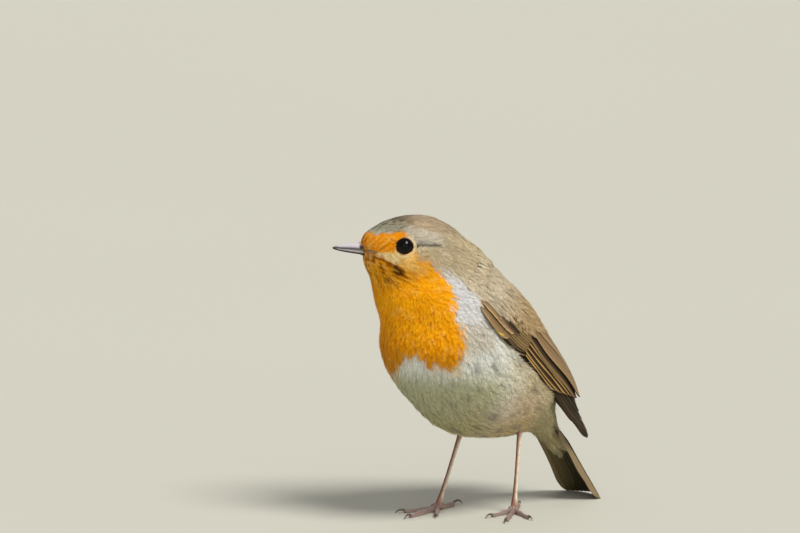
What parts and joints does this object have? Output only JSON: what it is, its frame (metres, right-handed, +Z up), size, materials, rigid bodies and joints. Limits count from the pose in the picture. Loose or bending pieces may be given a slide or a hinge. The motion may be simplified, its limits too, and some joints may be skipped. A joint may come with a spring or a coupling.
{
  "type": "european robin",
  "caption": "Life-size standing songbird with a rounded orange breast, thin pointed bill, folded wings, a lowered tail and slender legs.",
  "frame": {"origin": "middle of the bird's bounding box in plan, on the floor it stands on", "axes": "+Z up, -Y the way the body faces, +X the bird's left side; the head is turned to the bird's right"},
  "size_m": [0.045, 0.0924, 0.0993],
  "materials": {
    "crown": "olive brown feathers",
    "throat": "orange feathers",
    "breast": "off-white and orange feathers",
    "rump": "buff and olive feathers",
    "wing": "brown flight feathers",
    "tail": "brown tail feathers",
    "horn": "smooth dark horn",
    "eye": "wet black eye",
    "leg": "scaled skin",
    "claw": "smooth claw"
  },
  "bodies": {
    "root": {"head": "crown", "neck": "throat", "trunk": "breast", "rump": "rump", "tail": "tail", "wing_left": "wing", "wing_right": "wing", "bill_upper": "horn", "bill_lower": "horn", "eye_left": "eye", "eye_right": "eye", "tarsus_left": "leg", "tarsus_right": "leg", "toe_left_hind": "leg", "claw_left_hind": "claw", "toe_left_inner": "leg", "claw_left_inner": "claw", "toe_left_middle": "leg", "claw_left_middle": "claw", "toe_left_outer": "leg", "claw_left_outer": "claw", "toe_right_hind": "leg", "claw_right_hind": "claw", "toe_right_inner": "leg", "claw_right_inner": "claw", "toe_right_middle": "leg", "claw_right_middle": "claw", "toe_right_outer": "leg", "claw_right_outer": "claw"}
  },
  "joints": []
}
